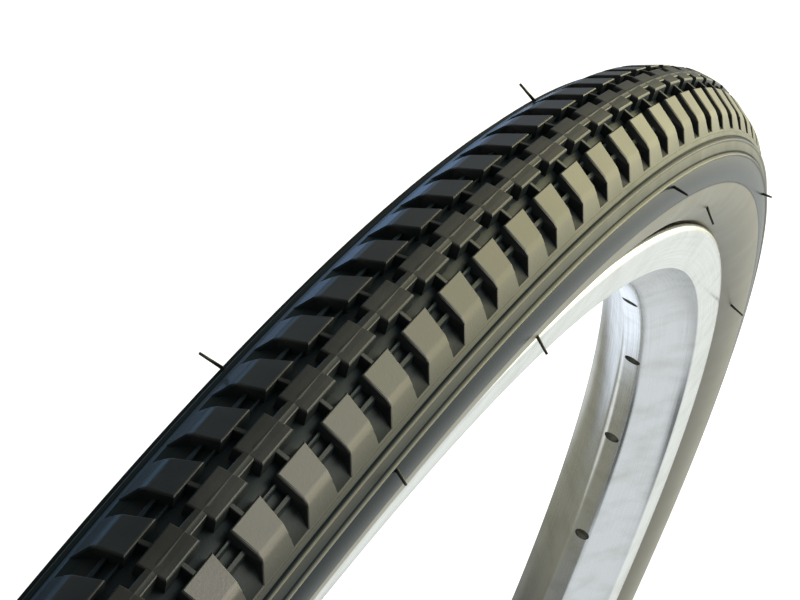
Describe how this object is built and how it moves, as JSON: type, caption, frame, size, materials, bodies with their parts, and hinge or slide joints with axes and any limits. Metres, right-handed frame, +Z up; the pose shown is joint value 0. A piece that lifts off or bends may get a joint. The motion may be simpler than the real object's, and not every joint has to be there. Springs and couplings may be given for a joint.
{
  "type": "bicycle tire",
  "caption": "Bicycle tyre with a raised centre band and shoulder blocks, mounted with its inner tube and valve on a bare single-wall alloy rim drilled for spokes.",
  "frame": {"origin": "centre of the wheel, on its axis and midway between its two sides", "axes": "+Y along the wheel's axis towards its left side, +Z up, and the valve at -X with its tip towards the centre"},
  "size_m": [0.692, 0.0332, 0.692],
  "materials": {
    "tread_rubber": "moulded black rubber with a soft sheen",
    "sidewall_rubber": "matte dusty black rubber",
    "cord_fabric": "rubbered cord cloth",
    "butyl_rubber": "matte black butyl",
    "bead_steel": "drawn wire",
    "satin_aluminium": "satin anodised",
    "rim_tape_cloth": "woven cotton strip",
    "nickelled_brass": "nickel plated",
    "spring_steel": "bright wire",
    "cap_plastic": "moulded black"
  },
  "bodies": {
    "wheel": {"tread": "tread_rubber", "breaker_strip": "cord_fabric", "casing_outer_ply": "cord_fabric", "casing_inner_ply": "cord_fabric", "sidewall_left": "sidewall_rubber", "sidewall_right": "sidewall_rubber", "bead_wire_left": "bead_steel", "bead_wire_right": "bead_steel", "chafer_left": "sidewall_rubber", "chafer_right": "sidewall_rubber", "inner_tube": "butyl_rubber", "valve_patch": "butyl_rubber", "valve_stem": "nickelled_brass", "core_barrel": "nickelled_brass", "core_spring": "spring_steel", "rim": "satin_aluminium", "rim_tape": "rim_tape_cloth"},
    "valve_pin": {"core_pin": "nickelled_brass", "core_cup": "butyl_rubber"},
    "cap_washer": {"cap_gasket": "butyl_rubber"},
    "cap": {"dust_cap": "cap_plastic"}
  },
  "joints": [
    {"name": "pin_press", "type": "slide", "parent": "wheel", "child": "valve_pin", "axis": [-1, 0, 0], "range_m": [0, 0.0015], "stiffness_N_per_m": 600, "deforming": ["core_spring"]},
    {"name": "cap_travel", "type": "slide", "parent": "wheel", "child": "cap_washer", "axis": [1, 0, 0], "range_m": [0, 0.00794]},
    {"name": "cap_turn", "type": "hinge", "parent": "cap_washer", "child": "cap", "pos_m": [-0.27152, 0, 0], "axis": [1, 0, 0], "range_deg": [0, 3600]}
  ],
  "couplings": [
    {"joint": "cap_turn", "follows": "cap_travel", "rad_per_m": 7913.3}
  ]
}
